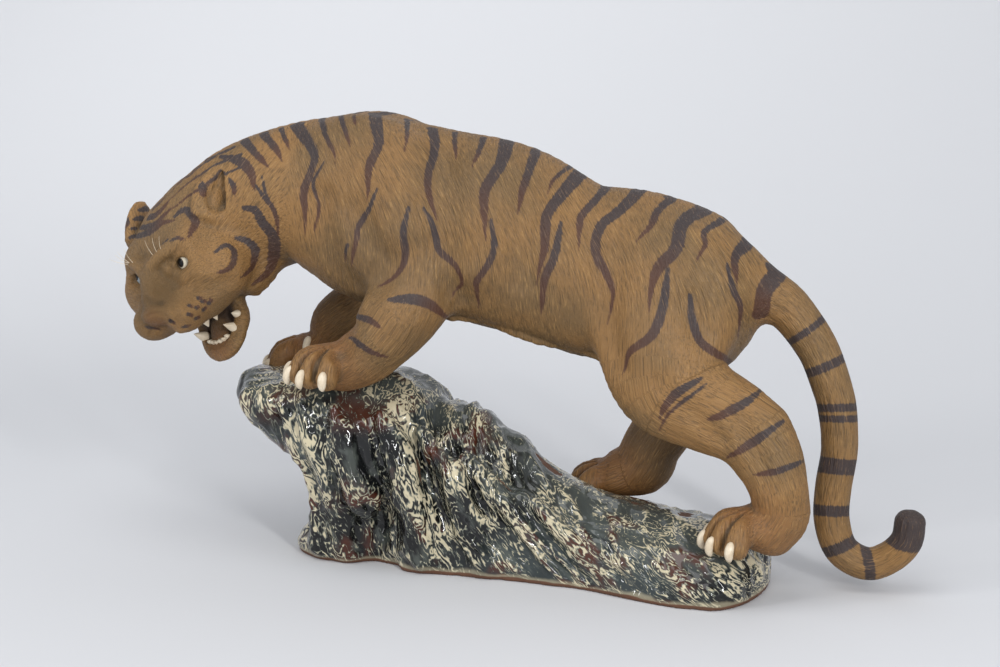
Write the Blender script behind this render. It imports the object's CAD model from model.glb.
import math

import bpy
import numpy as np
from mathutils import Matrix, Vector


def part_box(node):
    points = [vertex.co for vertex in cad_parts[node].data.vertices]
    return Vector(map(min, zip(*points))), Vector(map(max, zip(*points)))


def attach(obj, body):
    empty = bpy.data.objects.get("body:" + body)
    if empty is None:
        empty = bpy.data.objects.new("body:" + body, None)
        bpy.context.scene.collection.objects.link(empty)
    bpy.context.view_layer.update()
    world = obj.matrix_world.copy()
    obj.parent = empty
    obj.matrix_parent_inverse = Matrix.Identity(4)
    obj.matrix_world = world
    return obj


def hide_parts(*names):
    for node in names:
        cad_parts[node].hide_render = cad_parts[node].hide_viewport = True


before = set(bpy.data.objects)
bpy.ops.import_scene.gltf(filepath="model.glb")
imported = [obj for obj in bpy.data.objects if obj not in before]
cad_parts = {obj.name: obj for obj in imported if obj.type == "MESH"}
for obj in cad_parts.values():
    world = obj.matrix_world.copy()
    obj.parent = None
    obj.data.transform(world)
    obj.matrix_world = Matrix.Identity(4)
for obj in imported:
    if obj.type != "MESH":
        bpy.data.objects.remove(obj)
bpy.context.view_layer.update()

import openvdb
from mathutils import Matrix, Vector
from mathutils.bvhtree import BVHTree

MM = 0.001
SHIFT = np.array([14.023, 4.323, 0.031])     # from the sculptor's frame to the part's, in mm
GRAIN = 0.8
ROCK_GRAIN = 1.0
FUR_RELIEF = 0.40
FOLD_RELIEF = 3.8
WRINKLE_RELIEF = 1.5

# Sculptor's frame, in millimetres: X from head to tail, Z up
TRUNK = [
    (-170, 4, 166, 31, 29), (-150, 4, 177, 34, 29), (-122, 2, 185.5, 35.5, 31), (-98, 0, 183, 43, 34),
    (-76, 0, 176.6, 47.6, 36), (-46, 0, 172.5, 46.5, 37), (-15, 0, 167.3, 45.8, 38), (20, 0, 153.7, 41.7, 36),
    (52, 0, 148.5, 43, 34), (80, 0, 140.5, 41.2, 31), (94, 0, 139, 29, 23),
]
NEAR_FORELEG = [
    (-49, -20, 160, 26, 15), (-53, -27, 143.5, 20.5, 16), (-60.5, -30, 130, 18, 17), (-70, -31, 119, 16, 16),
    (-78, -31, 110.5, 14.5, 15), (-88, -31, 104.5, 12.5, 14), (-98, -31, 102, 10.5, 14),
]
FAR_FORELEG = [
    (-62, 20, 162, 27, 15), (-74, 27, 147, 20, 16), (-87, 29, 133.5, 16.8, 16), (-101, 30, 122, 17.2, 15.5),
    (-113, 30, 113.5, 15.8, 14.5), (-118, 30, 106, 12.3, 13.5), (-126, 30, 99.5, 8, 13.5),
]
NEAR_HIND_LEG = [
    (71, -18, 146, 33, 16), (68, -26, 122, 31, 18), (72, -30, 103, 25, 17), (90, -32, 94.2, 22, 16),
    (109, -33, 85.2, 18.8, 15), (120, -34, 72, 16, 14), (126, -34, 57, 13.5, 14), (127.5, -34, 45, 14, 14),
    (122, -34, 36.7, 13.8, 14),
]
FAR_HIND_LEG = [
    (70, 18, 144, 33, 16), (64, 26, 120, 30, 18), (64, 30, 102, 24, 17), (67.5, 32, 85, 18.8, 15),
    (62, 32, 71, 16, 14), (54, 32, 57.5, 15, 14), (49, 32, 46.8, 15.2, 14), (38, 32, 43, 11.5, 13.5),
]
SHOULDERS = [(-66, 22, 178, 32, 15, 38, 25), (-85, 15, 205, 25, 15, 20, 0)]
HAUNCHES = [(70, 20, 140, 30, 16, 38, -8), (85, 14, 148, 17, 12, 18, 0)]
TAIL = [
    (100, 0, 149, 17), (111, 0, 145, 13.5), (125, 0, 137, 11), (138, 0, 120.5, 10), (145, 0, 105, 9.6),
    (149.5, 0, 90, 9.2), (151.3, 0, 70, 8.8), (149, 0, 50, 8.8), (148.8, 0, 34, 8.6), (154, 0, 19.5, 8.2),
    (166, 0, 13.3, 8), (177, 0, 17.4, 7.8), (184.5, 0, 26, 7.7), (186, 0, 35.5, 7.5),
]
TOE_RADIUS = 6.2
TOE_FAN = 29
PAW_REACH = 20
TOE_DROP = 4
NEAR_FORE_PAW = (-93, -31, 105, 49, 3)
FAR_FORE_PAW = (-129, 29, 98, -6, 9)
NEAR_HIND_PAW = (116, -34, 37.5, 26, 8)
FAR_HIND_PAW = (34, 32, 39.5, 6, 8)
PAWS = (NEAR_FORE_PAW, FAR_FORE_PAW, NEAR_HIND_PAW, FAR_HIND_PAW)
CLAW_LENGTH = 9
CLAW_RADIUS = 2.3
DEWCLAW_LENGTH = 9

FACE = (-189, -26, 146.7)
FACE_TURN = -112.5
FACE_DIP = 12.4
FACE_TILT = 18.8
EYE_RADIUS = 4.6
EYE_SPREAD = 18
EYE_DEPTH = 3.2
JAW_DROP = -60
CANINE_LENGTH = 8.5
CANINE_RADIUS = 2.4
HIDDEN_CANINE = 0.55     # the share of the far upper canine that reaches below the lip

# The head, from between the eyes: forward, side and up, half sizes or radius, and how softly it joins
SKULL = [
    ((-28, 0, 7), (27, 33, 27), 8), ((-33, 24, -5), (15, 17, 25), 8), ((-14, 23.5, -9), (18, 19.5, 17.5), 7),
    ((-10, 14, 12), (9, 13, 7.5), 6), ((-10.5, 23, 4.5), (10.5, 8.2, 11), 6), ((-3, 0, -5), (17, 10, 15), 7),
    ((3, 0, -12), (13, 11, 8), 6), ((0, 0, -21), (13, 20, 11), 6), ((-6, 16, -20), (14, 12, 11), 7),
    ((5.5, 12, -22.2), (11, 12, 10.3), 3), ((13.5, 0, -18), (6, 9, 5), 3),
    ((-27.5, 0, -21), (11, 13, 11.5), 7),
]
RUFF = [(-42, 34, 15, 5.5), (-45, 38, 0, 7.5), (-39, 36, -13, 7.5), (-27, 28, -22.5, 5.5)]
RUFF_EDGE = [(-44, 35, 16), (-48.5, 38.5, 2), (-44.5, 38.5, -12), (-35, 34, -22), (-27, 27, -27)]
BROW = [(8, 5, 5, 2.4), (3, 13, 8.5, 3.4), (-4, 21, 9.5, 3.4), (-11, 28, 7, 2)]
UPPER_LID = [(1.2, 12.8, -1.4, 0.9), (0.9, 15.5, 3.2, 1.3), (0.4, 20.0, 4.2, 1.3), (-2.0, 24.2, 2.0, 0.9)]
LOWER_LID = [(1.2, 12.8, -1.4, 0.9), (1.4, 16.5, -4.2, 1.1), (0.2, 20.8, -3.4, 1.1), (-2.0, 24.2, 1.6, 0.8)]
GUM = [
    (-26.5, 15.5, -33, 1.0), (-20.5, 14.4, -38.5, 1.2), (-17.0, 10, -45.0, 1.2), (-16.2, 0, -47.6, 1.2),
    (-17.0, -10, -45.0, 1.2), (-20.5, -14.4, -38.5, 1.2), (-26.5, -15.5, -33, 1.0),
]
# The blade of an ear along its middle: how far up, half thickness and half width
EAR = [(-10, 5, 11), (-2, 5, 12.2), (6, 4, 10.4), (12, 3, 7)]
NEAR_EAR_TIP = [(16.5, 2, 3.6), (19.5, 1.3, 1.5)]
FAR_EAR_TIP = [(14, 2, 4.2), (15.5, 1.3, 1.8)]
# A crease between two toes: along the paw's reach, up, and radius
CREASE = [(0.42, 8.6, 0.8), (0.72, 7.2, 1.5), (0.98, 3.0, 1.7), (1.08, -4.0, 1.7)]


def unit(vector):
    vector = np.asarray(vector, float)
    return vector / np.linalg.norm(vector)


def size(vectors):
    return np.linalg.norm(vectors, axis=1)


def turned(yaw, pitch=0.0, roll=0.0):
    """Rows: forward, left and up of something that looks along +X, after roll, pitch and yaw in degrees."""
    cy, sy = math.cos(math.radians(yaw)), math.sin(math.radians(yaw))
    cp, sp = math.cos(math.radians(pitch)), math.sin(math.radians(pitch))
    cr, sr = math.cos(math.radians(roll)), math.sin(math.radians(roll))
    forward = np.array([cp * cy, cp * sy, sp])
    level = np.array([-sy, cy, 0.0])
    above = np.cross(forward, level)
    return np.array([forward, cr * level + sr * above, cr * above - sr * level])


LEVEL = np.eye(3)
FACE_AXES = turned(FACE_TURN, -FACE_DIP, FACE_TILT)

# Camera: the photograph's view, with the point that it looks at in the sculptor's frame
FOCAL_PIXELS = 1900
PICTURE = (1000, 667)
AIM = np.array([-18.0, 0.0, 118.0])
DISTANCE = 950
AZIMUTH, ELEVATION = math.radians(15), math.radians(10.4)
BACK = np.array([math.sin(AZIMUTH) * math.cos(ELEVATION), -math.cos(AZIMUTH) * math.cos(ELEVATION),
                 math.sin(ELEVATION)])
RIGHT = np.array([math.cos(AZIMUTH), math.sin(AZIMUTH), 0.0])
UP = np.cross(BACK, RIGHT)
EYE_POINT = AIM + BACK * DISTANCE


def on_face(forward, side, up):
    """A point given from between the eyes, side being positive toward the tiger's left."""
    return np.asarray(FACE) + FACE_AXES.T @ np.array([forward, side, up], float)


def egg(centre, radii, axes=LEVEL):
    return (np.asarray(centre, float), np.asarray(radii, float), axes)


def face_egg(centre, radii, turn=LEVEL):
    return egg(on_face(*centre), radii, turn @ FACE_AXES)


def both(centre, radii, turn=LEVEL):
    """The egg of one side of the face and of the other, or the one egg on its middle line."""
    forward, side, up = centre
    return [face_egg((forward, s * side, up), radii, turn) for s in ((1, -1) if side else (1,))]


def through_face(points):
    """The same points on the other side of the turned head."""
    return np.asarray(FACE) + (points - FACE) @ FACE_AXES.T * (1, -1, 1) @ FACE_AXES


def smooth_path(stations, step=None):
    """Catmull-Rom rows through the stations, close enough together to read as one skin."""
    rows = np.asarray(stations, float)
    rows = np.vstack([2 * rows[0] - rows[1], rows, 2 * rows[-1] - rows[-2]])
    found = []
    for a, b, c, d in zip(rows, rows[1:], rows[2:], rows[3:]):
        spacing = step or max(0.13 * min(b[3:].min(), c[3:].min()), 1.0)
        count = max(2, math.ceil(np.linalg.norm(c[:3] - b[:3]) / spacing))
        for t in np.arange(count) / count:
            found.append(0.5 * (2 * b + (c - a) * t + (2 * a - 5 * b + 4 * c - d) * t * t
                                + (3 * b - a - 3 * c + d) * t ** 3))
    found.append(rows[-2])
    return np.array(found)


def limb(stations, across=(0, 1, 0)):
    """Eggs along a path whose rows are X, Y, Z, half thickness in the plane and half thickness across it."""
    rows = smooth_path(stations)
    tangents = np.gradient(rows[:, :3], axis=0)
    shapes = []
    for row, tangent in zip(rows, tangents):
        tangent = unit(tangent)
        side = unit(np.asarray(across, float) - tangent * (tangent @ across))
        thick, wide = row[3], row[-1]
        shapes.append(egg(row[:3], (0.8 * min(thick, wide), wide, thick),
                          np.array([tangent, side, np.cross(tangent, side)])))
    return shapes


def face_limb(stations, sides=(1, -1)):
    """A limb on each of these sides of the face, whose rows are forward, side, up and radius."""
    shapes = []
    for s in sides:
        shapes += limb([(*on_face(forward, s * side, up), radius) for forward, side, up, radius in stations])
    return shapes


def between(corner, part):
    """What corner gives at the eight corners of a cell, mixed by the place within it."""
    total = np.zeros(len(part))
    for dx, dy, dz in np.ndindex(2, 2, 2):
        share = np.abs(1 - np.array([dx, dy, dz]) - part)
        total += share[:, 0] * share[:, 1] * share[:, 2] * corner(dx, dy, dz)
    return total


class Clay:
    """A block of space that holds the distance to the clay's surface, negative inside it."""

    def __init__(self, low, high, grain):
        self.grain = grain
        self.low = np.asarray(low, float)
        count = np.ceil((np.asarray(high, float) - self.low) / grain).astype(int) + 1
        self.depth = np.full(count, 20.0, np.float32)
        self.ticks = [(self.low[i] + grain * np.arange(count[i])).astype(np.float32) for i in range(3)]

    def window(self, low, high):
        first = np.floor((low - self.low) / self.grain).astype(int)
        last = np.ceil((high - self.low) / self.grain).astype(int) + 1
        return tuple(slice(max(a, 0), max(min(b, n), 0)) for a, b, n in zip(first, last, self.depth.shape))

    def reach(self, shapes, margin):
        spans = [np.sqrt(((radii[:, None] * axes) ** 2).sum(axis=0)) + margin for _, radii, axes in shapes]
        return [(centre - span, centre + span) for (centre, _, _), span in zip(shapes, spans)]

    def distance(self, shape, block):
        centre, radii, axes = shape
        offsets = [self.ticks[i][block[i]] - np.float32(centre[i]) for i in range(3)]
        x, y, z = offsets[0][:, None, None], offsets[1][None, :, None], offsets[2][None, None, :]
        near = far = 0
        for radius, axis in zip(radii, axes.astype(np.float32)):
            along = (axis[0] * x + axis[1] * y + axis[2] * z) / np.float32(radius)
            near = near + along * along
            far = far + (along / np.float32(radius)) ** 2
        near, far = np.sqrt(near), np.sqrt(far)
        return near * (near - 1) / np.maximum(far, 1e-6)

    def form(self, shapes, margin):
        """One mass from many eggs, with the block of space that it fills."""
        boxes = self.reach(shapes, margin)
        lows, highs = zip(*boxes)
        whole = self.window(np.min(lows, axis=0), np.max(highs, axis=0))
        mass = np.full([part.stop - part.start for part in whole], 20.0, np.float32)
        for shape, (low, high) in zip(shapes, boxes):
            block = self.window(low, high)
            inner = tuple(slice(b.start - w.start, b.stop - w.start) for b, w in zip(block, whole))
            np.minimum(mass[inner], self.distance(shape, block), out=mass[inner])
        return whole, mass

    def add(self, shapes, blend, sign=1):
        whole, mass = self.form(shapes, blend + 3)
        here = sign * self.depth[whole]
        overlap = np.maximum(blend - np.abs(here - mass), 0) / blend
        self.depth[whole] = sign * (np.minimum(here, mass) - overlap * overlap * blend / 4)

    def cut(self, shapes, blend):
        self.add(shapes, blend, -1)

    def sample(self, points, field=None):
        """The field at the points, between its grid values."""
        field = self.depth if field is None else field
        spots = (points - self.low) / self.grain
        first = np.clip(np.floor(spots).astype(int), 0, np.array(field.shape) - 2)
        a, b, c = first.T
        return between(lambda dx, dy, dz: field[a + dx, b + dy, c + dz], np.clip(spots - first, 0, 1))

    def slope(self, points, reach=1.0):
        """Unit vectors out of the clay."""
        steps = [self.sample(points + reach * axis) - self.sample(points - reach * axis) for axis in LEVEL]
        rows = np.stack(steps, axis=1)
        return rows / np.maximum(np.linalg.norm(rows, axis=1, keepdims=True), 1e-6)

    def settle(self, points):
        """The points moved onto the surface."""
        for _ in range(3):
            points = points - self.slope(points) * self.sample(points)[:, None]
        return points

    def hollowness(self, points, reach):
        """How far the surface is from flat over that reach: positive in a crease, negative on a ridge."""
        soft = np.clip(self.depth, -reach, reach)
        cells = max(1, int(round(reach / self.grain)))
        for axis in range(3):
            total = np.cumsum(soft, axis=axis, dtype=np.float32)
            ahead = np.roll(total, -cells, axis=axis)
            behind = np.roll(total, cells + 1, axis=axis)
            soft = (ahead - behind) / (2 * cells + 1)
        return -self.sample(points, soft)

    def skin(self):
        grid = openvdb.FloatGrid(20.0)
        grid.copyFromArray(self.depth)
        points, _, quads = grid.convertToPolygons(0.0, 0.0)
        return self.low + points * self.grain, quads


def toe_axes(paw, place):
    """The middle of a paw, the way that a toe or a gap at this place in its fan points, and up from there."""
    x, y, z, turn, dip = paw
    forward, _, up = turned(180 + turn + place * TOE_FAN, -dip)
    return np.array([x, y, z]), forward, up


def toe_rows(paw):
    """Each toe of a paw: the way it points, up, its root, its knuckle and its tip."""
    rows = []
    for place in (-1.5, -0.5, 0.5, 1.5):
        middle, forward, up = toe_axes(paw, place)
        rows.append((forward, up, middle + forward * 0.2 * PAW_REACH + up * 1.5,
                     middle + forward * 0.7 * PAW_REACH + up * 1.5,
                     middle + forward * PAW_REACH - up * TOE_DROP))
    return rows


def toe_shapes(root, knuckle, tip, across):
    return limb([(*root, 8, TOE_RADIUS), (*knuckle, TOE_RADIUS + 1, TOE_RADIUS),
                 (*tip, TOE_RADIUS, TOE_RADIUS - 0.6)], across)


def tiger_clay():
    clay = Clay((-235, -62, 0), (200, 62, 240), GRAIN)
    clay.add(limb(TRUNK), 6)
    for side in (-1, 1):
        for x, y, z, long, wide, high, lean in SHOULDERS + HAUNCHES:
            clay.add([egg((x, side * y, z), (long, wide, high), turned(0, lean))], 12)
    for leg in (NEAR_FORELEG, FAR_FORELEG, NEAR_HIND_LEG, FAR_HIND_LEG):
        clay.add(limb(leg), 9)
    clay.add(limb(TAIL), 9)
    for paw in PAWS:
        clay.add([egg(paw[:3], (15, 15, 8.5))], 5)
        for forward, up, root, knuckle, tip in toe_rows(paw):
            clay.add(toe_shapes(root, knuckle, tip, np.cross(up, forward)), 2.2)
    head(clay)
    face_details(clay)
    muscles(clay)
    fringe(clay)
    toe_creases(clay)
    return clay


def head(clay):
    for centre, radii, blend in SKULL:
        clay.add(both(centre, radii), blend)
    clay.add(face_limb(RUFF), 5)
    clay.add(both((-24.5, 14.0, -30.5), (5.6, 4.0, 11.5)), 5)
    jaw = turned(0, JAW_DROP)
    clay.add(both((-22.4, 0, -41.2), (16.4, 17.8, 6), jaw), 5)
    clay.cut(both((-18.5, 0, -37.5), (11.5, 14, 5.5), jaw) + both((-10, 0, -31.5), (13, 12.5, 5)), 2)
    clay.cut(both((-15, 12, -28.5), (9, 7, 5)), 2)
    clay.add(both((-22, 0, -39.5), (11, 8, 4.5), jaw), 2)
    for s in (1, -1):
        ear(clay, s)
        clay.cut([face_egg((4.5, s * EYE_SPREAD, 0.2), (7.5, 6.2, 4.2))], 3)
        clay.cut([face_egg((18, s * 5.5, -22), (3, 1.8, 1.5))], 1)


def ear(clay, s):
    """The blade of an ear, hollow in front, with a fold low in the hollow."""
    outward = unit((0.35, s * 0.92, 0.15))
    rise = (-0.64, s * 0.12, 0.76)
    tip = unit(np.array(rise) - outward * (outward @ rise))
    wide = np.cross(outward, tip)
    axes = np.array([outward, tip, wide])
    centre = np.array([-24.5, s * 32.5, 23])
    blade = [(*on_face(*(centre + along * tip)), thick, broad)
             for along, thick, broad in EAR + (NEAR_EAR_TIP if s > 0 else FAR_EAR_TIP)]
    clay.add(limb(blade, FACE_AXES.T @ wide), 3)
    clay.cut([face_egg(centre + 5.0 * outward + 2.5 * tip, (3.0, 11.0, 7.2), axes)], 1.5)
    clay.add([face_egg(centre + 1.2 * outward - 3 * tip, (2.6, 7.0, 2.8), axes)], 2)


def face_details(clay):
    """Lids, brows, nose, cheeks and the fringe of the ruff, finer than the solids of the part show."""
    clay.add(face_limb(BROW), 5)
    clay.add([face_egg((1.5, 10.8, -0.5), (4.5, 3.2, 4.5))], 3)
    clay.add(both((0, 18.5, -7.2), (4.5, 7.5, 3.2)), 4)
    clay.add(face_limb(UPPER_LID), 1.0)
    clay.add(face_limb(LOWER_LID), 1.0)
    clay.add([face_egg((15.0, 1.5, -20.4), (3.2, 8.6, 4.2), turned(0, -30))], 2.5)
    clay.add(both((6.5, 13.5, -22.5), (9.5, 9.5, 8.2)), 3)
    clay.add([face_egg((6.0, 12.5, -29.0), (8.5, 7.5, 3.2), turned(0, -8))], 2.5)
    # The far eye shows past the bridge of the nose
    far_eye = on_face(-EYE_DEPTH, -EYE_SPREAD, 0)
    clay.cut(limb([(*(far_eye + unit(EYE_POINT - far_eye) * away), 2.9) for away in (2, 14)]), 0.8)
    # Lips drawn back from the teeth, and the ridge of the gum inside the lower jaw
    clay.cut([face_egg((-15.5, 17.5, -32.5), (6.5, 8, 4.6), turned(0, -12))], 2)
    clay.cut([face_egg((-17, 17, -32.5), (6, 4.5, 5.5))], 2)
    clay.add(face_limb(GUM, (1,)), 1.2)
    for s in (1, -1):
        for number, (forward, side, up) in enumerate(smooth_path(RUFF_EDGE, 3.4)):
            tuft = FACE_AXES.T @ unit((-0.8, s * 0.1, -0.45 - 0.25 * (number % 2)))
            beside = unit(np.cross(tuft, FACE_AXES[1]))
            axes = np.array([tuft, np.cross(beside, tuft), beside])
            clay.add([egg(on_face(forward, s * side, up), (5.2, 1.9, 1.9), axes)], 1.6)


def toe_creases(clay):
    """Deep lines between the toes."""
    for paw in PAWS:
        for place in (-1, 0, 1):
            middle, forward, up = toe_axes(paw, place)
            line = [(*(middle + forward * along * PAW_REACH + up * height), radius)
                    for along, height, radius in CREASE]
            clay.cut(limb(line, np.cross(up, forward)), 2.4)


def under_pixel(tree, u, v):
    """The point of the CAD tiger under a pixel, or None."""
    hit = tree.ray_cast(Vector((EYE_POINT + SHIFT) * MM), Vector(pixel_ray(u, v)))[0]
    return None if hit is None else np.array(hit) / MM - SHIFT


def onto(clay, path, tree, mirror):
    """The clay's surface under a path in pixels. Mirrored to the far side, the head's points are left out."""
    rows = np.array([spot for spot in (under_pixel(tree, u, v) for u, v in path) if spot is not None])
    if mirror:
        rows = rows[rows[:, 0] > -150] * (1, -1, 1)
        rows = rows[np.abs(clay.sample(rows)) < 6]
    return clay.settle(rows) if len(rows) > 1 else rows[:0]


# Hollows between the muscles, in picture pixels: how wide and how deep in millimetres, then the path
HOLLOWS = [
    (9, 2.0, (322, 200), (324, 232), (333, 262), (352, 284)),
    (7, 1.6, (418, 205), (432, 236), (446, 266), (458, 300)),
    (12, 2.0, (440, 150), (446, 180), (452, 215), (462, 250)),
    (9, 1.6, (352, 210), (372, 240), (385, 262), (378, 290)),
    (10, 1.6, (608, 250), (606, 290), (608, 330), (616, 365)),
    (9, 1.2, (532, 190), (524, 230), (520, 280)),
    (9, 1.6, (690, 300), (700, 335), (730, 362)),
    (7, 1.3, (742, 420), (758, 455), (772, 490)),
    (6, 1.2, (660, 380), (690, 412), (720, 440)),
    (5, 1.2, (345, 300), (352, 330), (340, 356)),
    (6, 0.8, (164, 288), (170, 297), (184, 301)),
    (7, 0.8, (196, 290), (212, 286), (228, 280)),
    (7, 0.8, (200, 236), (208, 246), (212, 262)),
    (1.3, 1.5, (169.5, 321.5), (172.5, 323)),
    (1.0, 0.9, (147, 326.5), (152, 330), (159, 331.5)),
    (1.1, 0.6, (146, 315.5), (153, 313.0), (162, 313.5), (168, 317)),
    (1.3, 0.7, (151, 331.5), (149, 336)),
    (2.2, 0.7, (146, 300), (153, 303), (160, 302)),
    (2.2, 0.6, (172, 305), (178, 313), (180, 322)),
]
# The same for what stands out
SWELLS = [
    (14, 1.4, (398, 150), (396, 190), (402, 230)),
    (13, 1.2, (470, 170), (466, 220), (474, 270)),
    (16, 1.6, (650, 300), (660, 340), (690, 370)),
    (8, 1.0, (778, 420), (790, 455), (796, 490)),
    (10, 1.2, (370, 300), (390, 320), (380, 345)),
]


def muscles(clay):
    tree = cad_tree()
    for mirror in (False, True):
        for table, sign in ((HOLLOWS, -1), (SWELLS, 1)):
            for radius, height, *path in table:
                rows = onto(clay, path, tree, mirror)
                if len(rows):
                    rows = rows - sign * clay.slope(rows) * (radius - height)
                    shapes = limb(np.column_stack([rows, np.full(len(rows), radius)]))
                    clay.add(shapes, 8 if sign > 0 else 0.7 * radius, sign)


def fringe(clay):
    """Scalloped tufts under the belly and down the back of the forelegs."""
    for row, y in enumerate((-13, 0, 13)):
        for x in np.arange(-40 + 2 * row, 44, 5.5):
            column = clay.sample(np.column_stack([np.full(90, x), np.full(90, y), np.linspace(96, 140, 90)]))
            inside = np.nonzero(column < 0)[0]
            if len(inside):
                centre = (x, y + 2 * math.sin(x), 96 + 44 * inside[0] / 89 + 1.2)
                clay.add([egg(centre, (5, 3.4, 2.4 + 0.5 * math.sin(7 * x)), turned(0, -24))], 1.4)
    for leg in (NEAR_FORELEG, FAR_FORELEG):
        rows = smooth_path(leg, 4.5)
        tangents = np.gradient(rows[:, :3], axis=0)
        for row, tangent in zip(rows[3:-2], tangents[3:-2]):
            tangent = unit(tangent)
            behind = np.cross((0, 1, 0), tangent) * (1 if tangent[2] < 0 else -1)
            axes = np.array([unit(tangent - 0.35 * behind), (0, 1, 0), behind])
            clay.add([egg(row[:3] - behind * (row[3] - 1.2), (3.6, 5, 1.5), axes)], 1.4)


ROCK_MASSES = [
    ((-119.5, 2, 84), (34.5, 38, 11), 3), ((-131, 2, 71), (30, 34, 11), -41), ((-94, 2, 66), (33, 42, 30), 0),
    ((-93.5, 1, 25), (23, 26, 50), 0), ((-102, -1, 4), (24, 21, 13), 0), ((-72, 2, 62), (30, 40, 34), 0),
]
RAMP = [
    (-50, -1, 20, 64.5, 32), (-20, -1, 12, 54.5, 31), (10, -2, 8, 39.2, 32), (40, -4, 6, 32.5, 34),
    (75, -8, 5, 28.5, 42), (99, -10, 4, 26, 43),
]
FOLDS = [
    [(-120, 34, 80, 2), (-112, 30, 60, 6), (-105, 24, 35, 6), (-107, 21, 8, 6)],
    [(-110, 38, 84, 2), (-102, 35, 60, 7), (-95, 27, 30, 7), (-92, 22, 6, 6)],
    [(-92, 38, 84, 2), (-85, 38, 62, 7), (-80, 35, 40, 8), (-79, 29, 30, 5)],
    [(-70, 36, 82, 2), (-60, 38, 60, 8), (-54, 34, 32, 8), (-50, 29, 8, 7)],
    [(-50, 32, 74, 2), (-34, 34, 52, 7), (-25, 31, 28, 7), (-18, 28, 6, 6)],
    [(-28, 28, 60, 2), (-8, 30, 40, 6), (8, 29, 22, 6), (18, 28, 5, 6)],
    [(0, 27, 42, 2), (22, 31, 26, 6), (40, 32, 12, 6), (52, 32, 4, 5)],
    [(30, 28, 29, 2), (55, 36, 20, 6), (72, 41, 6, 6), (84, 46, 3, 5)],
]
CLEFTS = [
    [(-73, 46, 44, 4), (-72, 37, 22, 7), (-71, 29, -4, 9)],
    [(-42, 44, 60, 4), (-38, 38, 36, 4), (-32, 36, 4, 4)],
    [(-120, 44, 70, 3), (-110, 36, 44, 4), (-104, 30, 14, 4)],
]
ROCK_WALL = 8
PAW_SEAT_GAP = 0.45


def rock_clay():
    clay = Clay((-180, -70, -10), (140, 70, 110), ROCK_GRAIN)
    for centre, radii, lean in ROCK_MASSES:
        clay.add([egg(centre, radii, turned(0, lean))], 10)
    clay.add(limb(RAMP), 10)
    for side in (-1, 1):
        for fold in FOLDS:
            clay.add(limb([(x, side * y, z, radius) for x, y, z, radius in fold]), 6)
        for cleft in CLEFTS:
            clay.cut(limb([(x, side * y, z, radius) for x, y, z, radius in cleft]), 4)
    # The rock is cut level at the foot, and hollow from below
    clay.depth = np.maximum(clay.depth, -np.minimum(clay.ticks[2], clay.depth + ROCK_WALL))
    return clay


def linked(name, data):
    obj = bpy.data.objects.new(name, data)
    bpy.context.scene.collection.objects.link(obj)
    return obj


def rows_of(points):
    return ((np.asarray(points) + SHIFT) * MM).astype(np.float32)


def mesh_piece(name, points, faces, material, normals=None, values=None):
    """A mesh in the part's frame, with its normals and any values at its points."""
    faces = np.asarray(faces, np.int32)
    mesh = bpy.data.meshes.new(name)
    mesh.vertices.add(len(points))
    mesh.vertices.foreach_set("co", rows_of(points).ravel())
    mesh.loops.add(faces.size)
    mesh.loops.foreach_set("vertex_index", faces.ravel())
    mesh.polygons.add(len(faces))
    mesh.polygons.foreach_set("loop_start", np.arange(len(faces), dtype=np.int32) * faces.shape[1])
    mesh.update(calc_edges=True)
    for key, column in (values or {}).items():
        kind = "FLOAT_VECTOR" if column.ndim == 2 else "FLOAT"
        attribute = mesh.attributes.new(key, kind, "POINT")
        form = "vector" if column.ndim == 2 else "value"
        attribute.data.foreach_set(form, column.astype(np.float32).ravel())
    mesh.shade_smooth()
    if normals is not None:
        mesh.normals_split_custom_set_from_vertices(normals.tolist())
    mesh.materials.append(material)
    return linked(name, mesh)


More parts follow.
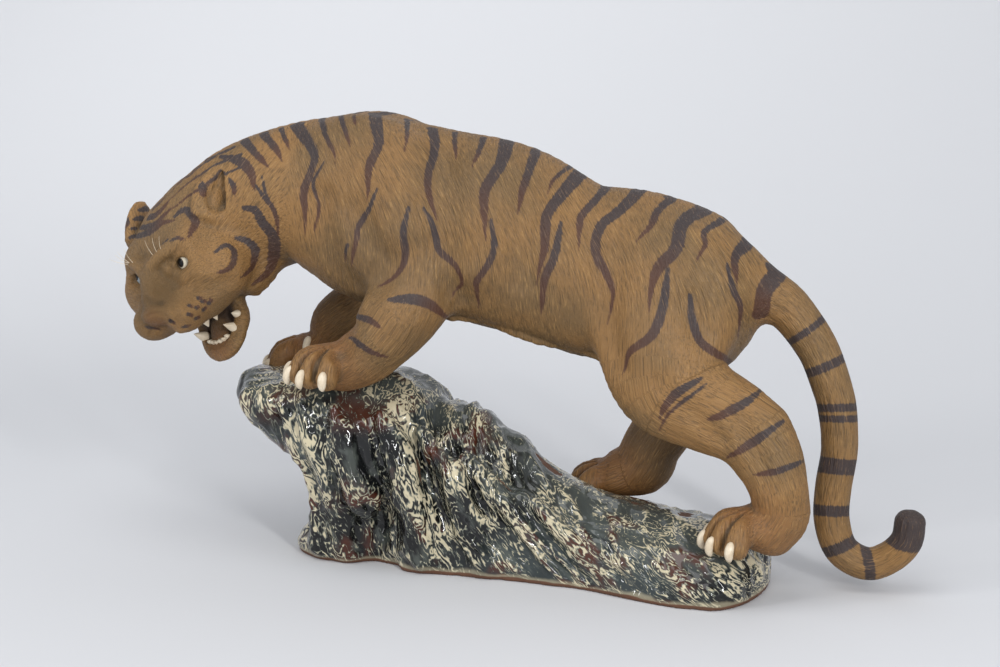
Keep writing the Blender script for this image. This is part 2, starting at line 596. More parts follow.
# Painted marks, in pixels of the 1000 by 667 view: width in pixels, how it tapers, then the path.
# Tapers: d from full width to a point, b pointed at both ends, f full width to both ends.
MARKS = [
    (13, "d", (374, 109), (377, 128), (379, 146), (370, 164), (368, 177), (368, 189), (365, 202)),
    (5, "b", (378, 189), (370, 205), (358, 223), (355, 243), (349, 269)),
    (4, "d", (346, 246), (340, 265)),
    (10, "d", (432, 129), (437, 149), (432, 166), (429, 184), (432, 200), (437, 220)),
    (6, "b", (424, 208), (434, 228), (439, 251), (455, 269), (461, 281), (455, 299)),
    (5, "d", (407, 115), (407, 133), (404, 153)),
    (7, "b", (408, 208), (404, 233), (405, 253), (398, 269), (376, 285)),
    (5, "d", (455, 130), (453, 156)),
    (6, "d", (484, 134), (477, 156), (473, 168)),
    (12, "d", (296, 124), (307, 141), (314, 156), (309, 174), (303, 192), (304, 212), (304, 237)),
    (3, "b", (323, 162), (312, 184), (317, 207), (313, 232)),
    (4, "d", (301, 121), (308, 139)),
    (6, "d", (321, 117), (326, 138), (333, 151), (335, 163)),
    (5, "d", (340, 114), (345, 131), (350, 146)),
    (5, "d", (354, 110), (355, 125)),
    (5, "d", (281, 128), (289, 149)),
    (9, "d", (262, 132), (276, 149), (282, 162)),
    (9, "d", (244, 140), (256, 154), (269, 168)),
    (10, "b", (220, 156), (238, 160), (250, 172), (254, 190)),
    (4, "b", (254, 184), (263, 197), (273, 212), (278, 235)),
    (3, "b", (261, 176), (266, 197), (276, 217), (277, 242)),
    (14, "d", (508, 136), (501, 163), (486, 188), (484, 206), (486, 241)),
    (6, "b", (491, 220), (494, 248), (486, 268), (477, 282), (478, 309)),
    (10, "d", (537, 148), (529, 170), (523, 195), (519, 213)),
    (4, "d", (573, 163), (555, 177), (547, 192)),
    (14, "d", (584, 168), (559, 197), (546, 216), (544, 248), (539, 266), (535, 286)),
    (8, "b", (561, 222), (554, 257), (544, 280), (541, 314)),
    (10, "d", (611, 182), (589, 206), (580, 220), (579, 250)),
    (13, "d", (643, 189), (619, 211), (601, 225), (596, 248), (605, 275), (609, 294), (604, 325)),
    (10, "d", (677, 195), (658, 211), (651, 225), (636, 241)),
    (17, "d", (708, 206), (683, 222), (676, 248), (658, 268), (652, 289), (650, 312)),
    (9, "b", (668, 269), (663, 305), (653, 335), (628, 353), (618, 374)),
    (7, "d", (724, 218), (704, 232), (706, 243), (696, 261)),
    (9, "b", (691, 296), (695, 321), (706, 346), (738, 366)),
    (13, "d", (750, 241), (736, 257), (738, 286)),
    (7, "b", (728, 264), (734, 289), (741, 307), (738, 339)),
    (17, "f", (783, 268), (766, 289), (761, 313)),
    (8, "b", (700, 379), (678, 392), (664, 408), (659, 420)),
    (3, "b", (706, 384), (683, 402), (667, 416), (659, 431)),
    (8, "b", (760, 391), (742, 405), (718, 417), (705, 422)),
    (8, "b", (779, 423), (761, 437), (742, 450), (725, 459)),
    (6, "b", (800, 461), (774, 472), (752, 476)),
    (10, "b", (389, 300), (411, 299), (429, 304), (449, 319)),
    (6, "b", (356, 316), (370, 320), (383, 328)),
    (6, "b", (348, 336), (370, 350), (388, 356)),
    (5, "b", (325, 308), (342, 318)),
]
# Rings round the tail: width, then the two ends of the band that shows
TAIL_RINGS = [
    (6, (789, 341), (824, 316)), (8, (806, 373), (842, 357)), (7, (820, 406), (857, 405)),
    (6, (821, 420), (857, 420)), (15, (822, 464), (855, 467)), (10, (813, 510), (850, 511)),
    (10, (824, 553), (852, 540)), (9, (865, 549), (869, 571)),
]
# Marks on the head: the same, for what faces the camera
HEAD_MARKS = [
    (5, "d", (233, 147), (202, 162), (174, 186)),
    (4, "d", (215, 156), (190, 172), (168, 194)),
    (4, "d", (240, 154), (212, 166), (186, 184), (165, 203)),
    (3, "b", (248, 163), (220, 176), (190, 194), (172, 208)),
    (7, "b", (130, 238), (145, 233), (154, 228), (162, 222), (174, 220)),
    (6, "b", (131, 229), (152, 225), (162, 216), (172, 206)),
    (7, "b", (134, 219), (152, 216), (161, 209), (170, 198)),
    (6, "b", (139, 210), (155, 206), (167, 194)),
    (8, "b", (174, 216), (184, 209), (194, 217), (195, 225), (191, 232), (188, 240)),
    (5, "f", (165, 246), (164, 257)),
    (3, "f", (171, 243), (172, 249)),
    (3, "b", (174, 244), (179, 239), (187, 241)),
    (12, "b", (243, 208), (255, 211), (262, 224), (272, 236), (274, 249), (273, 264), (267, 276), (252, 287)),
    (8, "b", (236, 238), (247, 241), (255, 249), (254, 259), (249, 269), (239, 277)),
    (6, "b", (214, 251), (226, 246), (233, 252), (233, 262), (228, 269), (216, 274)),
    (3, "f", (197, 297), (199, 297)), (3, "f", (202, 301), (205, 301)), (3, "f", (189, 304), (191, 305)),
    (3, "f", (196, 308), (198, 307)), (3, "f", (188, 314), (191, 315)), (3, "f", (195, 318), (198, 317)),
    (3, "f", (203, 310), (206, 308)), (3, "f", (209, 304), (211, 301)), (3, "b", (182, 327), (191, 324)),
    (9, "b", (201, 181), (204, 197)),
    (4, "f", (170, 322), (172.5, 323)), (3, "b", (145, 327), (152, 330), (161, 332)),
    (5, "b", (228, 178), (233, 187), (234, 196)),
    (5, "b", (124, 216), (126, 231)),
]


def pixel_ray(u, v):
    return unit(-BACK + RIGHT * (u - PICTURE[0] / 2) / FOCAL_PIXELS
                + UP * (PICTURE[1] / 2 - v) / FOCAL_PIXELS)


def pixels_of(points):
    away = points - EYE_POINT
    depth = -(away @ BACK)
    return np.stack([PICTURE[0] / 2 + FOCAL_PIXELS * (away @ RIGHT) / depth,
                     PICTURE[1] / 2 - FOCAL_PIXELS * (away @ UP) / depth], axis=1)


def in_millimetres(pixels, point):
    """The size, at that point, of what is so many pixels wide in the picture."""
    return pixels * np.linalg.norm(point - EYE_POINT) / FOCAL_PIXELS


def taper(kind, t):
    if kind == "d":
        return np.minimum(1.0, 1.25 * (1 - t ** 1.6)) * (0.86 + 0.14 * np.cos(9 * t))
    if kind == "b":
        return np.clip(np.sin(math.pi * np.clip(0.06 + 0.94 * t, 0, 1)) ** 0.7, 0, 1)
    return np.ones_like(t)


def laid_on(mark, tree, clay):
    """The mark's path on the clay, with its half widths in millimetres and how far along it each row is."""
    width, kind, *path = mark
    rows = smooth_path([(u, v, 0.0) for u, v in path], 5)
    length = np.concatenate([[0], np.cumsum(size(np.diff(rows[:, :2], axis=0)))])
    t = length / length[-1]
    found = []
    middle = np.array([480.0, 280.0])
    for (u, v, _), half, place in zip(rows, 0.5 * width * taper(kind, t), t):
        # A path that misses the body at its outline is drawn in until it meets it
        for inward in (0, 2, 4, 7, 10):
            point = under_pixel(tree, *(np.array([u, v]) + unit(middle - (u, v)) * inward))
            if point is not None:
                found.append((*point, in_millimetres(half, point), place))
                break
    rows = np.array(found)
    rows[:, :3] = clay.settle(rows[:, :3])
    return rows


def paint(points, normals, strokes, limit=4.0):
    """Distance from each point to the nearest stroke's edge, and how far along that stroke it is."""
    edge = np.full(len(points), limit)
    along = np.ones(len(points))
    for rows, allowed, ways in strokes:
        reach = limit + rows[:, 3].max()
        low, high = rows[:, :3].min(axis=0) - reach, rows[:, :3].max(axis=0) + reach
        near = np.nonzero(allowed & ((points > low) & (points < high)).all(axis=1))[0]
        if not len(near):
            continue
        spots = points[near]
        best = np.full(len(near), limit)
        place = np.ones(len(near))
        for a, b, way in zip(rows, rows[1:], ways):
            span = b[:3] - a[:3]
            t = np.clip((spots - a[:3]) @ span / max(span @ span, 1e-9), 0, 1)
            gap = size(spots - a[:3] - t[:, None] * span) - (a[3] + t * (b[3] - a[3]))
            gap = np.where(normals[near] @ way > 0.1, gap, limit)
            closer = gap < best
            best = np.where(closer, gap, best)
            place = np.where(closer, a[4] + t * (b[4] - a[4]), place)
        closer = best < edge[near]
        edge[near] = np.where(closer, best, edge[near])
        along[near] = np.where(closer, place, along[near])
    return edge, along


CHANCE = np.random.default_rng(7).random((64, 64, 64)).astype(np.float32)


def wander(spots):
    """Smooth noise from 0 to 1, with a swell at about each unit of the given places."""
    base = np.floor(spots).astype(int)
    part = spots - base
    part = part * part * (3 - 2 * part)
    a, b, c = base.T
    return between(lambda dx, dy, dz: CHANCE[(a + dx) % 64, (b + dy) % 64, (c + dz) % 64], part)


def along_path(points, rows):
    """For each point: how far from the path within its plane, how far along, and how far in thicknesses."""
    best = np.full(len(points), 1e9)
    offset, travel = np.zeros(len(points)), np.zeros(len(points))
    done = 0.0
    for a, b in zip(rows, rows[1:]):
        span = b[:3] - a[:3]
        length = np.linalg.norm(span)
        t = np.clip((points - a[:3]) @ span / length ** 2, 0, 1)
        gap = points - a[:3] - t[:, None] * span
        thick = a[3] + t * (b[3] - a[3])
        far = size(gap) / thick
        normal = np.array([-span[2], 0, span[0]]) / length
        closer = far < best
        best = np.where(closer, far, best)
        offset = np.where(closer, gap @ normal, offset)
        travel = np.where(closer, done + t * length, travel)
        done += length
    return offset, travel, best


def locks(spots):
    return 0.4 * wander(spots * 0.4) + 0.8 * wander(spots * 0.85 + 9) + 0.3 * wander(spots * 1.5 + 21)


def step(value, low, high):
    t = np.clip((value - low) / (high - low), 0, 1)
    return t * t * (3 - 2 * t)


def combed(points):
    """Where each point lies across the hair and, much compressed, along it, on the trunk and on what grows
    from it, and how much the second counts."""
    x, y, z = points.T
    spine = np.interp(x, [row[0] for row in TRUNK], [row[2] for row in TRUNK])
    rise = np.maximum(z - spine + 15, 0)
    trunk = np.column_stack([x + 0.5 * rise ** 2 / 55, 0.18 * y, 0.10 * z])
    grown, share = np.zeros_like(points), np.zeros(len(points))
    for stations, sign, reach in ((NEAR_FORELEG, 1, 34), (FAR_FORELEG, 1, 34), (NEAR_HIND_LEG, 1, 40),
                                  (FAR_HIND_LEG, 1, 40), (TAIL, -1, 14)):
        offset, travel, far = along_path(points, smooth_path(stations, 8))
        beside = (y > 0) == (stations[-1][1] >= 0) if stations is not TAIL else x > 96
        weight = np.where(beside, step(travel, 4, reach) * step(far, 1.7, 1.25), 0)
        own = np.column_stack([300 - sign * offset, y, 0.10 * travel])
        grown = np.where((weight > share)[:, None], own, grown)
        share = np.maximum(share, weight)
    away = (points - FACE) @ FACE_AXES.T - (10, 0, -16)
    far = np.maximum(size(away), 1)
    weight = step(away[:, 0], -62, -46) * step(x, -112, -124)
    own = away / far[:, None] * (48 + 0.11 * far[:, None])
    grown = np.where((weight > share)[:, None], own, grown)
    return trunk, grown, np.maximum(share, weight)


class Look:
    """A node material, built node by node."""

    def __init__(self, name):
        self.material = bpy.data.materials.new(name)
        self.material.use_nodes = True
        self.tree = self.material.node_tree
        self.shader = self.tree.nodes["Principled BSDF"]

    def feed(self, socket, value):
        if isinstance(value, bpy.types.NodeSocket):
            self.tree.links.new(value, socket)
        else:
            socket.default_value = value

    def node(self, kind, inputs, out=0, **settings):
        made = self.tree.nodes.new("ShaderNode" + kind)
        for key, value in settings.items():
            setattr(made, key, value)
        for key, value in inputs.items():
            self.feed(made.inputs[key], value)
        return made.outputs[out]

    def math(self, operation, *values):
        return self.node("Math", dict(enumerate(values)), operation=operation)

    def plus(self, a, b):
        return self.math("ADD", a, b)

    def times(self, a, b):
        return self.math("MULTIPLY", a, b)

    def around(self, value, middle, height):
        """The value measured from its middle, times the height."""
        return self.times(self.math("SUBTRACT", value, middle), height)

    def ramp(self, value, low, high, start=0.0, end=1.0):
        inputs = {"Value": value, "From Min": low, "From Max": high, "To Min": start, "To Max": end}
        return self.node("MapRange", inputs, interpolation_type="SMOOTHSTEP")

    def mix(self, factor, a, b):
        made = self.tree.nodes.new("ShaderNodeMix")
        made.data_type = "RGBA"
        for key, value in ((0, factor), (6, a), (7, b)):
            self.feed(made.inputs[key], (*value, 1) if isinstance(value, tuple) else value)
        return made.outputs[2]

    def noise(self, scale, vector=None, detail=3.0, rough=0.5, distortion=0.0):
        inputs = {"Scale": scale, "Detail": detail, "Roughness": rough, "Distortion": distortion}
        if vector is not None:
            inputs["Vector"] = vector
        return self.node("TexNoise", inputs)

    def value(self, name, out=2):
        return self.node("Attribute", {}, out=out, attribute_name=name)

    def place(self):
        return self.node("TexCoord", {}, out=3)

    def finish(self, colour, rough, bump=None, strength=1.0, distance=0.0005, **fixed):
        self.feed(self.shader.inputs["Base Color"], (*colour, 1) if isinstance(colour, tuple) else colour)
        self.feed(self.shader.inputs["Roughness"], rough)
        for key, value in fixed.items():
            self.shader.inputs[key.replace("_", " ")].default_value = value
        if bump is not None:
            normal = self.node("Bump", {"Strength": strength, "Distance": distance, "Height": bump})
            self.feed(self.shader.inputs["Normal"], normal)
        return self.material


def fur_look():
    look = Look("combed stoneware")
    place = look.place()
    share = look.value("share")
    fine, coarse = [look.node("Mix", {0: share, 2: look.noise(scale, look.value("trunk", out=1), 2.0, 0.6),
                                      3: look.noise(scale, look.value("grown", out=1), 2.0, 0.6)})
                    for scale in (1.7, 0.5)]
    patches = look.noise(24.0, place, 3.0)
    speckle = look.noise(1100.0, place, 2.0)
    crease = look.ramp(look.value("crease"), 0.05, 0.75)
    ridge = look.ramp(look.value("crease"), -0.1, -0.8)
    colour = look.mix(look.ramp(patches, 0.36, 0.64), (0.255, 0.132, 0.040), (0.176, 0.101, 0.036))
    for share, tint in (
        (look.times(look.value("shade"), 0.8), (0.040, 0.025, 0.012)),
        (look.value("rosy"), (0.215, 0.088, 0.022)),
        (look.times(crease, 0.75), (0.062, 0.042, 0.020)),
        (look.times(ridge, 0.30), (0.33, 0.175, 0.052)),
        (look.ramp(fine, 0.50, 0.34, 0.0, 0.60), (0.072, 0.040, 0.014)),
        (look.ramp(fine, 0.56, 0.70, 0.0, 0.45), (0.40, 0.235, 0.083)),
        (look.ramp(coarse, 0.46, 0.30, 0.0, 0.16), (0.100, 0.062, 0.022)),
        (look.ramp(coarse, 0.56, 0.70, 0.0, 0.10), (0.33, 0.18, 0.06)),
        (look.value("mouth"), (0.045, 0.024, 0.014)),
    ):
        colour = look.mix(share, colour, tint)
    # Painted marks: the edge breaks up along the hair
    edge = look.plus(look.value("edge"), look.around(coarse, 0.5, 0.9))
    edge = look.plus(edge, look.around(fine, 0.5, 1.6))
    inked = look.ramp(edge, 0.75, -0.15)
    ink = look.mix(look.ramp(look.value("along"), 0.25, 0.85), (0.030, 0.021, 0.023), (0.068, 0.024, 0.012))
    ink = look.mix(look.ramp(fine, 0.54, 0.70, 0.0, 0.5), ink, (0.13, 0.08, 0.058))
    worn = look.ramp(fine, 0.60, 0.76, 0.94, 0.62)
    colour = look.mix(look.times(inked, worn), colour, ink)
    rough = look.ramp(speckle, 0.3, 0.7, 0.50, 0.70)
    bump = look.plus(fine, look.times(coarse, 1.2))
    bump = look.plus(bump, look.times(speckle, 0.15))
    return look.finish(colour, rough, bump, 0.9, 0.0007)


def glaze_look():
    look = Look("marbled glaze")
    place = look.place()
    flow = look.value("flow", out=1)
    pools = look.noise(0.050, flow, 2.0, 0.5, 0.6)
    swirl = look.noise(0.070, flow, 2.0, 0.45, 0.9)
    lace = look.noise(0.17, flow, 2.0, 0.5, 0.8)
    grain = look.noise(0.62, flow, 2.0, 0.5, 0.5)
    haze = look.noise(0.105, flow, 3.0, 0.6, 0.4)
    patch = look.noise(18.0, place, 2.0)
    heat = look.noise(30.0, place, 3.0)
    # Pale lines follow the level lines of the flow, and run together where the glaze pools
    line = look.math("PINGPONG", look.plus(look.times(swirl, 8.0), look.times(lace, 4.4)), 0.5)
    mist = look.plus(look.around(pools, 0.5, 1.0), look.around(look.value("folds"), 0.6, 0.34))
    cream = look.plus(line, look.plus(mist, look.around(grain, 0.5, 0.80)))
    cream = look.ramp(cream, 0.22, 0.66)
    colour = look.mix(look.ramp(patch, 0.50, 0.66), (0.005, 0.0055, 0.006), (0.034, 0.043, 0.044))
    colour = look.mix(look.ramp(haze, 0.50, 0.68, 0.0, 0.60), colour, (0.095, 0.108, 0.095))
    colour = look.mix(look.ramp(look.value("skyward"), 0.45, 0.9, 0.0, 0.6), colour, (0.100, 0.112, 0.104))
    colour = look.mix(look.ramp(cream, 0.08, 0.45), colour, (0.125, 0.135, 0.110))
    colour = look.mix(look.ramp(cream, 0.40, 1.0), colour, (0.58, 0.51, 0.35))
    # Red-brown where the glaze is thin, on ridges and on the rim of the tall end
    thin = look.times(look.ramp(look.value("crease"), 0.0, -1.2), look.ramp(heat, 0.50, 0.60))
    thin = look.math("MAXIMUM", thin, look.times(look.value("rim"), look.ramp(heat, 0.44, 0.54)))
    thin = look.times(thin, look.ramp(cream, 0.45, 0.15))
    colour = look.mix(look.times(thin, 0.75), colour, (0.085, 0.022, 0.010))
    # Pooled pale glaze low down, then bare clay round the foot and underneath
    foot = look.value("foot")
    low = look.plus(foot, look.times(look.noise(55.0, place, 3.0), 8.0))
    colour = look.mix(look.ramp(low, 8.5, 6.5, 0.0, 0.4), colour, (0.54, 0.47, 0.31))
    bare = look.ramp(look.plus(foot, look.times(look.noise(60.0, place), 3.0)), 3.9, 3.3)
    colour = look.mix(bare, colour, (0.115, 0.050, 0.026))
    rough = look.ramp(bare, 0.0, 1.0, 0.05, 0.75)
    bump = look.plus(look.noise(75.0, place, 2.0), look.times(cream, 0.08))
    return look.finish(colour, rough, bump, 0.4, 0.0014, IOR=1.5)


def pale_look():
    look = Look("white clay")
    place = look.place()
    shade = look.noise(300.0, place, 3.0)
    colour = look.mix(look.ramp(shade, 0.35, 0.7), (0.72, 0.62, 0.47), (0.60, 0.49, 0.35))
    return look.finish(colour, look.ramp(shade, 0.3, 0.7, 0.35, 0.5), shade, 0.3, 0.0003)


def eye_look(name, iris, white):
    look = Look(name)
    turn = look.value("gaze")
    colour = look.mix(look.ramp(turn, 25.0, 27.0), (0.004, 0.004, 0.004), iris)
    colour = look.mix(look.ramp(turn, white - 2.0, white + 2.0), colour, (0.60, 0.54, 0.42))
    return look.finish(colour, look.ramp(look.noise(400.0), 0.3, 0.7, 0.05, 0.08), IOR=1.33)


FUR = fur_look()
GLAZE = glaze_look()
PALE = pale_look()


def tiger_strokes(clay, points, normals):
    """Every painted mark: its rows, the points that it may colour and the clay's slope along it."""
    tree = cad_tree()
    x, y, _ = points.T
    facing = ((EYE_POINT - points) * normals).sum(axis=1)
    forward, _, up = ((points - FACE) @ FACE_AXES.T).T
    far_face = (forward > -48) & (x < -118) & (up < 45) & (facing <= 0)
    strokes = []
    for mark in MARKS:
        rows = laid_on(mark, tree, clay)
        strokes.append((rows, y < 6))
        across = rows * (1, -1, 1, 1, 1)
        across = across[np.abs(clay.sample(across[:, :3])) < 7]
        if len(across) > 2:
            across[:, :3] = clay.settle(across[:, :3])
            strokes.append((across, y > 0))
    for mark in HEAD_MARKS:
        rows = laid_on(mark, tree, clay)
        strokes.append((rows, facing > 0))
        across = rows.copy()
        across[:, :3] = clay.settle(through_face(rows[:, :3]))
        strokes.append((across, far_face))
    for mark in TAIL_RINGS:
        strokes.append((tail_ring(*mark, clay), x > 100))
    return [(rows, allowed, clay.slope(rows[:-1, :3])) for rows, allowed in strokes]


def dress_tiger(clay):
    points, quads = clay.skin()
    normals = clay.slope(points, 0.9)
    x, y, z = points.T
    edge, along = paint(points, normals, tiger_strokes(clay, points, normals))
    tip = size(points - (186, 0, 36)) - 15
    edge = np.minimum(edge, np.where(x > 160, tip, 4))
    along = np.where(tip < 3, 0.1, along)
    rosy = np.zeros(len(points))
    warm = [(np.array(paw[:3]), 30) for paw in PAWS]
    warm += [(on_face(16.5, 1, -22), 9), (on_face(-16, 0, -48), 14)]
    for centre, reach in warm:
        rosy = np.maximum(rosy, 1 - size(points - centre) / reach)
    inner = step(y, 6, 24) * step(-normals[:, 1], 0.1, 0.7) * step(z, 150, 120)
    under = step(-normals[:, 2], 0.5, 0.95) * step(np.abs(y), 34, 20)
    flank = step(x, -112, -92) * (1 - step(x, 62, 92)) * step(z, 100, 125)
    shade = np.maximum(np.maximum(0.75 * inner, 0.6 * under), 0.14 * flank) * (1 - step(x, 108, 112))
    trunk, grown, share = combed(points)
    mouth = mouth_shade(points)
    values = {"edge": edge, "along": along, "crease": clay.hollowness(points, 3.5), "mouth": mouth,
              "rosy": np.clip(1.4 * rosy, 0, 0.8), "trunk": trunk, "grown": grown, "share": share,
              "shade": shade}
    hair = (1 - share) * locks(trunk) + share * locks(grown)
    points = points + normals * (FUR_RELIEF * (hair - 0.75) * (1 - mouth))[:, None]
    points = boxed(points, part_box("tiger_body"))
    middles = points[quads].mean(axis=1)[:, 0]
    part = np.searchsorted(np.quantile(middles, (0.25, 0.5, 0.75)), middles)
    names = ("tiger_head_end", "tiger_shoulders", "tiger_loins", "tiger_tail_end")
    for piece in skin_pieces(names, part, points, quads, FUR, values):
        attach(piece, "root")
        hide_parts("tiger_body")


def skin_pieces(names, part, points, quads, material, values):
    """A skin as pieces of these names, where part gives each face the number of its piece."""
    normals = vertex_normals(points, quads)
    for number, name in enumerate(names):
        faces = quads[part == number]
        used, index = np.unique(faces, return_inverse=True)
        yield mesh_piece(name, points[used], index.reshape(faces.shape), material, normals[used],
                         {key: column[used] for key, column in values.items()})


def boxed(points, box):
    """The points, kept inside the box of their CAD node."""
    low, high = [np.array(list(corner)) / MM - SHIFT for corner in box]
    return np.clip(points, low, high)


def cad_tree():
    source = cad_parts["tiger_body"].data
    return BVHTree.FromPolygons([v.co for v in source.vertices], [p.vertices for p in source.polygons])


def vertex_normals(points, quads):
    sides = np.cross(points[quads[:, 2]] - points[quads[:, 0]], points[quads[:, 3]] - points[quads[:, 1]])
    total = np.zeros_like(points)
    for corner in range(4):
        for axis in range(3):
            total[:, axis] += np.bincount(quads[:, corner], sides[:, axis], len(points))
    return total / np.maximum(np.linalg.norm(total, axis=1, keepdims=True), 1e-9)


def mouth_shade(points):
    """How dark the clay is inside the mouth: 1 in the throat, 0 on the lips."""
    local = (points - FACE) @ FACE_AXES.T
    inside = size((local - (-21, 0, -35)) / (13.5, 14.5, 9.5))
    tongue = size((local - (-20, 0, -41)) / (9, 8.5, 7))
    return np.clip(0.9 * step(inside, 1.12, 0.86) - 0.55 * step(tongue, 1.15, 0.8), 0, 0.96)


def tail_ring(width, start, end, clay):
    """A painted ring round the tail that the camera sees as a band from one pixel to the other."""
    rows = smooth_path(TAIL, 3.0)
    middle = (np.array(start) + end) / 2
    centre = rows[np.argmin(size(pixels_of(rows[:, :3]) - middle))]
    across = unit(RIGHT * (end[0] - start[0]) - UP * (end[1] - start[1]))
    path = [centre[:3] + centre[3] * (math.cos(a) * across + math.sin(a) * BACK)
            for a in np.linspace(0, 2 * math.pi, 25)]
    half = in_millimetres(0.5 * width, centre[:3])
    return np.column_stack([clay.settle(np.array(path)), np.full(len(path), half), np.full(len(path), 0.3)])


def under_rock(clay, points, normals):
    """Which points of the rock's skin face its hollow: low ones with rock beyond them on both sides."""
    _, y, z = points.T
    inside = np.zeros(len(points), bool)
    low = np.nonzero((z < 62) & ((normals[:, 1] * y < 0) | (np.abs(y) < 20)))[0]
    walls = [np.any([clay.sample(points[low] + (0, way * far, 0)) < 0 for far in range(4, 64, 6)], axis=0)
             for way in (-1, 1)]
    inside[low] = np.all(walls, axis=0)
    return inside


def dress_rock(clay, tiger):
    points, quads = clay.skin()
    x, y, z = points.T
    normals = vertex_normals(points, quads)
    lean = 0.35 + 0.95 * step(x, -70, 40)
    flow = np.column_stack([x + lean * z, 0.8 * y, 0.45 * z - 0.2 * x])
    folds = 1 - np.abs(2 * wander(flow / (11, 13, 11)) - 1)
    wrinkles = 1 - np.abs(2 * wander(flow / (4.6, 6, 5) + 20) - 1)
    fade = step(z, 0.5, 7) * step(normals[:, 2], 1.5, 0.6)
    height = (FOLD_RELIEF * (folds - 0.70) + WRINKLE_RELIEF * (wrinkles - 0.7)) * fade
    points = points + normals * np.where(clay.sample(points - normals * 2) < 0, height, 0)[:, None]
    gap = tiger.sample(points)
    points = points + tiger.slope(points) * np.where(gap < PAW_SEAT_GAP, PAW_SEAT_GAP - gap, 0)[:, None]
    points = boxed(points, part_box("rock_base"))
    x, y, z = points.T
    values = {"flow": flow, "folds": folds, "skyward": normals[:, 2],
              "rim": step(z, 68, 84) * step(x, -20, -60) * step(-y, 22, 34),
              "crease": clay.hollowness(points, 5) - 1.2 * (folds - 0.6),
              "foot": np.where(under_rock(clay, points, normals), 0, z)}
    part = (points[quads].mean(axis=1)[:, 0] >= -45).astype(int)
    for piece in skin_pieces(("rock_tall_end", "rock_slope"), part, points, quads, GLAZE, values):
        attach(piece, "root")
        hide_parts("rock_base")


def spun(name, node, root, tip, radius, bow, profile, flat=1.0):
    """A closed, turned piece from its root to its tip, bowed by the vector and flattened across it."""
    steps = np.linspace(0, 1, len(profile))
    path = root + (tip - root) * steps[:, None] + np.asarray(bow) * (4 * steps * (1 - steps))[:, None]
    tangents = np.gradient(path, axis=0)
    side = np.cross(tangents[0], bow if np.linalg.norm(bow) > 0.1 else (0.3, 0.5, 0.8))
    points, faces, count = [path[0]], [], 20
    for middle, tangent, width in zip(path, tangents, profile):
        tangent = unit(tangent)
        across = unit(side - tangent * (side @ tangent))
        outward = np.cross(across, tangent)
        for a in np.arange(count) * 2 * math.pi / count:
            points.append(middle + radius * width * (math.cos(a) * across + flat * math.sin(a) * outward))
    points.append(path[-1])
    last = 1 + (len(profile) - 1) * count
    for k in range(count):
        after = (k + 1) % count
        faces += [(a + k, a + after, a + count + after, a + count + k) for a in range(1, last, count)]
        faces += [(0, 1 + after, 1 + k), (last + k, last + after, len(points) - 1)]
    mesh = bpy.data.meshes.new(name)
    mesh.from_pydata(rows_of(points).tolist(), [], faces)
    mesh.shade_smooth()
    mesh.materials.append(PALE)
    piece = linked(name, mesh)
    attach(piece, "root")
    if node:
        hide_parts(node)


ALMOND = np.array([0.45, 0.76, 0.88, 0.93, 0.95, 0.95, 0.94, 0.90, 0.83, 0.71, 0.52, 0.24])
FANG = np.array([0.80, 0.92, 0.98, 1.0, 0.97, 0.90, 0.80, 0.68, 0.54, 0.40, 0.24, 0.08])


def dress_claws():
    for leg, paw in zip(("near_front", "far_front", "near_hind", "far_hind"), PAWS):
        for number, (forward, up, _, _, tip) in enumerate(toe_rows(paw), 1):
            root = tip + forward * (TOE_RADIUS - 3) + up * 5
            end = root + unit(forward * 0.25 - up) * CLAW_LENGTH
            spun(f"{leg}_claw_{number}", f"claw_{leg}_{number}", root, end, CLAW_RADIUS, forward * 1.9,
                 ALMOND, 0.9)
    for leg, (x, y, z, _, _), inward in (("near_front", NEAR_FORE_PAW, 1), ("far_front", FAR_FORE_PAW, -1)):
        root = np.array([x + 2, y + inward * 9.5, z + 9.5])
        end = root + unit((-0.1, inward * 0.4, -0.9)) * DEWCLAW_LENGTH
        spun(f"{leg}_dewclaw", f"dewclaw_{leg}", root, end, CLAW_RADIUS, (0, inward * 0.8, 0), ALMOND)


# Each kind of tooth: its root on the face, the way it points, its length and its radius
TEETH = {
    "upper_canine": ((-5.5, 9.5, -28.5), (-0.1, 0, -1), 0.8 * CANINE_LENGTH, CANINE_RADIUS),
    "upper_premolar": ((-8.5, 14.2, -26.5), (-0.1, 0, -1), 0.85 * CANINE_LENGTH, CANINE_RADIUS),
    "lower_canine": ((-22, 12.5, -43), (0.85, 0, 0.55), 1.25 * CANINE_LENGTH, 1.15 * CANINE_RADIUS),
    "lower_molar": ((-24, 15, -36.5), (0.85, 0, 0.5), 0.7 * CANINE_LENGTH, CANINE_RADIUS),
}


def dress_teeth():
    for s, name in ((1, "left"), (-1, "right")):
        for kind, ((forward, side, up), way, length, radius) in TEETH.items():
            root = on_face(forward, s * side, up)
            if (kind, name) == ("upper_canine", "right"):
                length *= HIDDEN_CANINE
            spun(f"{name}_{kind}", f"{kind}_{name}", root, root + FACE_AXES.T @ unit(way) * length, radius,
                 (0, 0, 0), FANG)


# Hairs over the brows: which side, their root on the face, how far they lean out and their length
BRISTLES = [
    (1, 6, 8, 7, 0.1, 11), (1, 5, 10, 7.5, 0.35, 11), (1, 4, 12, 8, 0.6, 11), (-1, 6, 9, 7, 0.0, 11),
    (-1, 5, 12, 7.5, 0.4, 11), (-1, 4, 14, 8, 0.8, 11), (-1, 3, 16, 8, 1.6, 15),
]
BRISTLE_RADIUS = 0.16


def dress_bristles():
    for number, (s, forward, side, up, lean, length) in enumerate(BRISTLES):
        root = on_face(forward, s * side, up)
        end = root + FACE_AXES.T @ unit((0.25, s * lean, 0.9)) * length
        spun(f"bristle_{number}", None, root, end, BRISTLE_RADIUS, FACE_AXES[0] * 0.9, np.linspace(1, 0.3, 8))


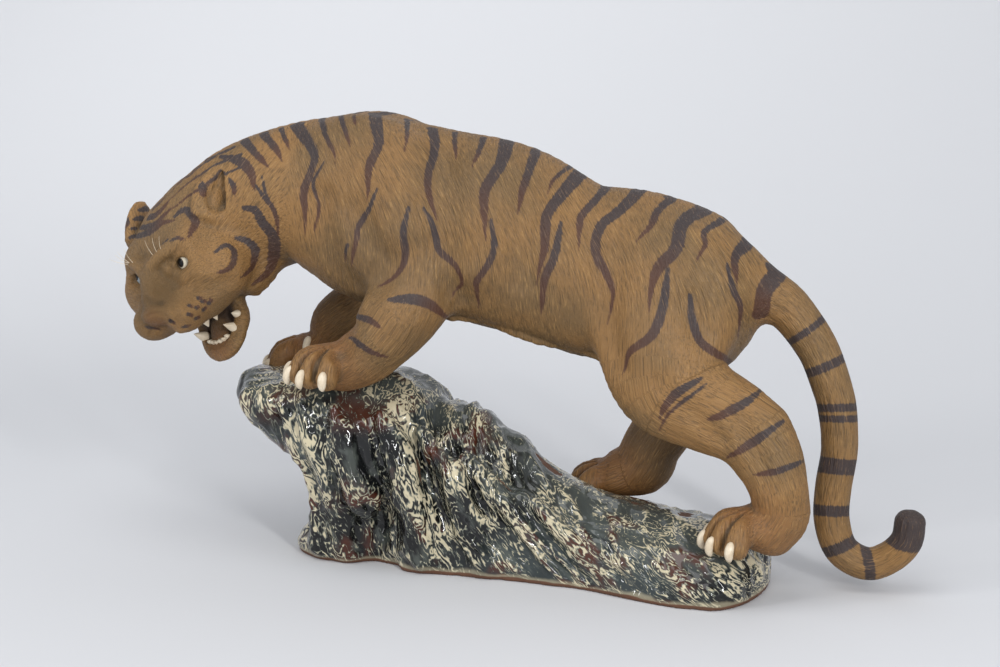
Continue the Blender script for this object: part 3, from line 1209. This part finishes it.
# Each eye: its side, the pixel that its pupil shows at, the colour of its iris and where the white begins
EYES = {
    "left": (1, (179.6, 263.0), (0.030, 0.018, 0.010), 31.0),
    "right": (-1, (136.3, 276.5), (0.26, 0.30, 0.32), 52.0),
}


def dress_eyes():
    rings, segments = 24, 36
    turns = np.repeat(np.linspace(0, math.pi, rings + 1), segments)
    sweep = np.tile(np.arange(segments) * 2 * math.pi / segments, rings + 1)
    across = np.sin(turns)[:, None]
    faces = [(a + k, a + segments + k, a + segments + (k + 1) % segments, a + (k + 1) % segments)
             for a in range(0, rings * segments, segments) for k in range(segments)]
    for name, (s, pupil, iris, white) in EYES.items():
        centre = on_face(-EYE_DEPTH, s * EYE_SPREAD, 0)
        ray = pixel_ray(*pupil)
        away = centre - EYE_POINT
        nearest = away @ ray
        drop = max(EYE_RADIUS ** 2 - (away @ away - nearest ** 2), 0) ** 0.5
        forward = unit(EYE_POINT + ray * (nearest - drop) - centre)
        side = unit(np.cross(forward, (0, 0, 1)))
        up = np.cross(side, forward)
        ahead = np.cos(turns)[:, None] * forward
        beside = across * np.cos(sweep)[:, None] * side
        above = across * np.sin(sweep)[:, None] * up
        points = centre + EYE_RADIUS * (ahead + beside + above)
        piece = mesh_piece(f"eye_ball_{name}", points, faces, eye_look(f"{name} eye", iris, white),
                           values={"gaze": np.degrees(turns)})
        node = f"eye_{name}"
        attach(piece, "root")
        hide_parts(node)


def camera():
    data = bpy.data.cameras.new("view")
    data.sensor_width = 36
    data.lens = data.sensor_width * FOCAL_PIXELS / PICTURE[0]
    data.clip_end = 20
    place = Matrix(np.column_stack([RIGHT, UP, BACK]).tolist()).to_4x4()
    place.translation = Vector((EYE_POINT + SHIFT) * MM)
    view = linked("view", data)
    view.matrix_world = place
    bpy.context.scene.camera = view


# Each light in metres: its place, what it is aimed at, its width and height, and its power
LIGHTS = {
    "top": ((-0.1, -0.45, 1.35), (0, 0, 0.1), (0.9, 0.9), 5.4),
    "left": ((-1.1, -0.9, 0.6), (0, 0, 0.1), (0.06, 0.7), 4.6),
    "right": ((0.9, -1.2, 0.6), (0, 0, 0.1), (0.08, 0.7), 11.0),
    "front": ((0.1, -1.5, 1.0), (0, 0, 0.1), (0.6, 0.06), 2.6),
    "rim": ((0.3, 1.0, 1.6), (0, 0, 0.1), (1.2, 1.2), 2.5),
    "wall": ((-0.7, 0.5, 1.2), (-0.8, 1.95, 0.8), (1.0, 1.0), 7),
}
BACKDROP_NEAR = -2.5
BACKDROP_BEND = 0.35     # where the sheet starts to rise, behind the object
BACKDROP_RADIUS = 1.6
BACKDROP_HEIGHT = 4
BACKDROP_HALF_WIDTH = 5.0


def studio():
    """A pale sheet that curves up behind the object, and soft light from above and both sides."""
    profile = [(BACKDROP_NEAR, 0), (BACKDROP_BEND, 0)]
    profile += [(BACKDROP_BEND + BACKDROP_RADIUS * math.sin(a), BACKDROP_RADIUS * (1 - math.cos(a)))
                for a in np.linspace(0.04, math.pi / 2, 40)]
    profile.append((BACKDROP_BEND + BACKDROP_RADIUS, BACKDROP_HEIGHT))
    points = [(x, y, z) for y, z in profile for x in (-BACKDROP_HALF_WIDTH, BACKDROP_HALF_WIDTH)]
    faces = [(2 * k, 2 * k + 1, 2 * k + 3, 2 * k + 2) for k in range(len(profile) - 1)]
    mesh = bpy.data.meshes.new("backdrop")
    mesh.from_pydata(points, [], faces)
    mesh.shade_smooth()
    mesh.materials.append(Look("backdrop paper").finish((0.65, 0.655, 0.675), 0.9))
    linked("backdrop", mesh)
    world = bpy.data.worlds.new("studio")
    bpy.context.scene.world = world
    world.use_nodes = True
    sky = world.node_tree.nodes["Background"].inputs
    sky["Color"].default_value = (0.90, 0.93, 0.97, 1)
    sky["Strength"].default_value = 0.63
    for name, (place, aim, (width, height), power) in LIGHTS.items():
        data = bpy.data.lights.new(name, "AREA")
        data.shape = "RECTANGLE"
        data.size = width
        data.size_y = height
        data.energy = power
        light = linked(name, data)
        light.location = place
        light.rotation_euler = (Vector(aim) - Vector(place)).to_track_quat("-Z", "Y").to_euler()
    bpy.context.scene.view_settings.view_transform = "Standard"


tiger = tiger_clay()
dress_tiger(tiger)
dress_rock(rock_clay(), tiger)
dress_claws()
dress_teeth()
dress_bristles()
dress_eyes()
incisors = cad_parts["lower_incisors"].data.materials
incisors.clear()
incisors.append(PALE)
camera()
studio()
